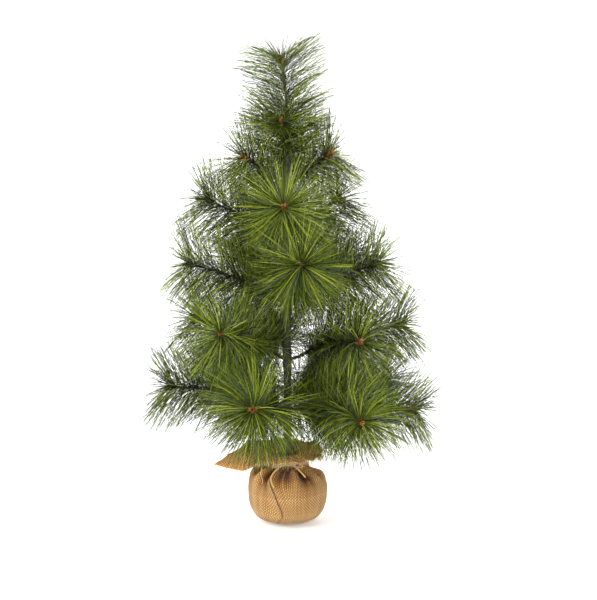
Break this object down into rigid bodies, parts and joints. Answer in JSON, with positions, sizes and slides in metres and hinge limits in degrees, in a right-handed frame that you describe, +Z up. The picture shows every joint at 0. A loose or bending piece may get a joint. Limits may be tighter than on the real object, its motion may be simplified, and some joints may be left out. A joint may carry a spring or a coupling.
{
  "type": "artificial tabletop tree",
  "caption": "Small artificial pine with bendable long-needle branches on a taped trunk, standing in a weight wrapped in burlap and tied with jute.",
  "frame": {"origin": "centre of the burlap's flat resting face, on the trunk's axis", "axes": "+Z up along the trunk; -Y faces the viewer of the picture; +X to the viewer's right"},
  "size_m": [0.3706, 0.3549, 0.6058],
  "materials": {
    "cement": "rough cast cement",
    "steel_rod": "drawn wire rod",
    "trunk_tape": "wound PVC tape, dark green-black",
    "burlap": "coarse open jute weave",
    "jute_twine": "hairy two-ply jute",
    "branch_wire": "twisted pair of coated annealed wires",
    "needles": "slit PVC film, satin, mixed greens"
  },
  "bodies": {
    "trunk": {"base_weight": "cement", "trunk_rod": "steel_rod", "trunk_wrap": "trunk_tape", "burlap_wrap": "burlap", "neck_tie": "jute_twine", "tie_tail_right": "jute_twine", "tie_tail_left": "jute_twine", "tie_bow_loop": "jute_twine"},
    "bottom_branch_1": {"bottom_branch_1_wire": "branch_wire", "bottom_branch_1_needles": "needles"},
    "bottom_branch_2": {"bottom_branch_2_wire": "branch_wire", "bottom_branch_2_needles": "needles"},
    "bottom_branch_3": {"bottom_branch_3_wire": "branch_wire", "bottom_branch_3_needles": "needles"},
    "bottom_branch_4": {"bottom_branch_4_wire": "branch_wire", "bottom_branch_4_needles": "needles"},
    "bottom_branch_5": {"bottom_branch_5_wire": "branch_wire", "bottom_branch_5_needles": "needles"},
    "bottom_branch_6": {"bottom_branch_6_wire": "branch_wire", "bottom_branch_6_needles": "needles"},
    "bottom_branch_7": {"bottom_branch_7_wire": "branch_wire", "bottom_branch_7_needles": "needles"},
    "low_branch_1": {"low_branch_1_wire": "branch_wire", "low_branch_1_needles": "needles"},
    "low_branch_2": {"low_branch_2_wire": "branch_wire", "low_branch_2_needles": "needles"},
    "low_branch_3": {"low_branch_3_wire": "branch_wire", "low_branch_3_needles": "needles"},
    "low_branch_4": {"low_branch_4_wire": "branch_wire", "low_branch_4_needles": "needles"},
    "low_branch_5": {"low_branch_5_wire": "branch_wire", "low_branch_5_needles": "needles"},
    "middle_branch_1": {"middle_branch_1_wire": "branch_wire", "middle_branch_1_needles": "needles"},
    "middle_branch_2": {"middle_branch_2_wire": "branch_wire", "middle_branch_2_needles": "needles"},
    "middle_branch_3": {"middle_branch_3_wire": "branch_wire", "middle_branch_3_needles": "needles"},
    "middle_branch_4": {"middle_branch_4_wire": "branch_wire", "middle_branch_4_needles": "needles"},
    "middle_branch_5": {"middle_branch_5_wire": "branch_wire", "middle_branch_5_needles": "needles"},
    "upper_branch_1": {"upper_branch_1_wire": "branch_wire", "upper_branch_1_needles": "needles"},
    "upper_branch_2": {"upper_branch_2_wire": "branch_wire", "upper_branch_2_needles": "needles"},
    "upper_branch_3": {"upper_branch_3_wire": "branch_wire", "upper_branch_3_needles": "needles"},
    "upper_branch_4": {"upper_branch_4_wire": "branch_wire", "upper_branch_4_needles": "needles"},
    "top_branch_1": {"top_branch_1_wire": "branch_wire", "top_branch_1_needles": "needles"},
    "top_branch_2": {"top_branch_2_wire": "branch_wire", "top_branch_2_needles": "needles"},
    "top_branch_3": {"top_branch_3_wire": "branch_wire", "top_branch_3_needles": "needles"},
    "crown_branch_1": {"crown_branch_1_wire": "branch_wire", "crown_branch_1_needles": "needles"},
    "leader": {"leader_wire": "branch_wire", "leader_needles": "needles"}
  },
  "joints": [
    {"name": "bottom_branch_1_bend", "type": "hinge", "parent": "trunk", "child": "bottom_branch_1", "pos_m": [-0.00742, -0.0027, 0.142], "axis": [-0.342, 0.9397, 0], "range_deg": [-35.5, 54.5]},
    {"name": "bottom_branch_2_bend", "type": "hinge", "parent": "trunk", "child": "bottom_branch_2", "pos_m": [-0.00204, -0.00763, 0.142], "axis": [-0.9659, 0.2588, 0], "range_deg": [-32.4, 57.6]},
    {"name": "bottom_branch_3_bend", "type": "hinge", "parent": "trunk", "child": "bottom_branch_3", "pos_m": [0.00442, -0.00655, 0.142], "axis": [-0.829, -0.5592, 0], "range_deg": [-24.9, 65.1]},
    {"name": "bottom_branch_4_bend", "type": "hinge", "parent": "trunk", "child": "bottom_branch_4", "pos_m": [0.0078, -0.00124, 0.142], "axis": [-0.1564, -0.9877, 0], "range_deg": [-21.8, 68.2]},
    {"name": "bottom_branch_5_bend", "type": "hinge", "parent": "trunk", "child": "bottom_branch_5", "pos_m": [0.0067, 0.00419, 0.142], "axis": [0.5299, -0.848, 0], "range_deg": [-28.5, 61.5]},
    {"name": "bottom_branch_6_bend", "type": "hinge", "parent": "trunk", "child": "bottom_branch_6", "pos_m": [0.00218, 0.00759, 0.142], "axis": [0.9613, -0.2756, 0], "range_deg": [-30.4, 59.6]},
    {"name": "bottom_branch_7_bend", "type": "hinge", "parent": "trunk", "child": "bottom_branch_7", "pos_m": [-0.00508, 0.00605, 0.142], "axis": [0.766, 0.6428, 0], "range_deg": [-31.3, 58.7]},
    {"name": "low_branch_1_bend", "type": "hinge", "parent": "trunk", "child": "low_branch_1", "pos_m": [-0.00464, -0.00639, 0.208], "axis": [-0.809, 0.5878, 0], "range_deg": [-41.1, 48.9]},
    {"name": "low_branch_2_bend", "type": "hinge", "parent": "trunk", "child": "low_branch_2", "pos_m": [0.00605, -0.00508, 0.208], "axis": [-0.6428, -0.766, 0], "range_deg": [-37.5, 52.5]},
    {"name": "low_branch_3_bend", "type": "hinge", "parent": "trunk", "child": "low_branch_3", "pos_m": [0.00784, 0.00096, 0.208], "axis": [0.1219, -0.9925, 0], "range_deg": [-35.9, 54.1]},
    {"name": "low_branch_4_bend", "type": "hinge", "parent": "trunk", "child": "low_branch_4", "pos_m": [-0.0011, 0.00782, 0.208], "axis": [0.9903, 0.1392, 0], "range_deg": [-33.6, 56.4]},
    {"name": "low_branch_5_bend", "type": "hinge", "parent": "trunk", "child": "low_branch_5", "pos_m": [-0.00737, 0.00283, 0.208], "axis": [0.3584, 0.9336, 0], "range_deg": [-40.1, 49.9]},
    {"name": "middle_branch_1_bend", "type": "hinge", "parent": "trunk", "child": "middle_branch_1", "pos_m": [-0.00773, -0.00164, 0.281], "axis": [-0.2079, 0.9781, 0], "range_deg": [-42.9, 47.1]},
    {"name": "middle_branch_2_bend", "type": "hinge", "parent": "trunk", "child": "middle_branch_2", "pos_m": [0.00124, -0.0078, 0.281], "axis": [-0.9877, -0.1564, 0], "range_deg": [-48.2, 41.8]},
    {"name": "middle_branch_3_bend", "type": "hinge", "parent": "trunk", "child": "middle_branch_3", "pos_m": [0.00742, -0.0027, 0.281], "axis": [-0.342, -0.9397, 0], "range_deg": [-44.9, 45.1]},
    {"name": "middle_branch_4_bend", "type": "hinge", "parent": "trunk", "child": "middle_branch_4", "pos_m": [0.00486, 0.00622, 0.281], "axis": [0.788, -0.6157, 0], "range_deg": [-43.6, 46.4]},
    {"name": "middle_branch_5_bend", "type": "hinge", "parent": "trunk", "child": "middle_branch_5", "pos_m": [-0.00371, 0.00698, 0.281], "axis": [0.8829, 0.4695, 0], "range_deg": [-44.5, 45.5]},
    {"name": "upper_branch_1_bend", "type": "hinge", "parent": "trunk", "child": "upper_branch_1", "pos_m": [-0.00782, 0.0011, 0.354], "axis": [0.1392, 0.9903, 0], "range_deg": [-49.1, 40.9]},
    {"name": "upper_branch_2_bend", "type": "hinge", "parent": "trunk", "child": "upper_branch_2", "pos_m": [-0.00028, -0.00789, 0.354], "axis": [-0.9994, 0.0349, 0], "range_deg": [-49.9, 40.1]},
    {"name": "upper_branch_3_bend", "type": "hinge", "parent": "trunk", "child": "upper_branch_3", "pos_m": [0.00662, 0.0043, 0.354], "axis": [0.5446, -0.8387, 0], "range_deg": [-56.8, 33.2]},
    {"name": "upper_branch_4_bend", "type": "hinge", "parent": "trunk", "child": "upper_branch_4", "pos_m": [-0.00204, 0.00763, 0.354], "axis": [0.9659, 0.2588, 0], "range_deg": [-50.6, 39.4]},
    {"name": "top_branch_1_bend", "type": "hinge", "parent": "trunk", "child": "top_branch_1", "pos_m": [-0.0071, -0.00346, 0.43], "axis": [-0.4384, 0.8988, 0], "range_deg": [-51.4, 38.6]},
    {"name": "top_branch_2_bend", "type": "hinge", "parent": "trunk", "child": "top_branch_2", "pos_m": [0.00751, -0.00244, 0.43], "axis": [-0.309, -0.9511, 0], "range_deg": [-56.2, 33.8]},
    {"name": "top_branch_3_bend", "type": "hinge", "parent": "trunk", "child": "top_branch_3", "pos_m": [0.00069, 0.00787, 0.43], "axis": [0.9962, -0.0872, 0], "range_deg": [-56.1, 33.9]},
    {"name": "crown_branch_1_bend", "type": "hinge", "parent": "trunk", "child": "crown_branch_1", "pos_m": [-0.00191, -0.00766, 0.455], "axis": [-0.9703, 0.2419, 0], "range_deg": [-86.8, 3.2]},
    {"name": "leader_bend", "type": "hinge", "parent": "trunk", "child": "leader", "pos_m": [0, 0, 0.4721], "axis": [0, 1, 0], "range_deg": [-25, 25]}
  ]
}
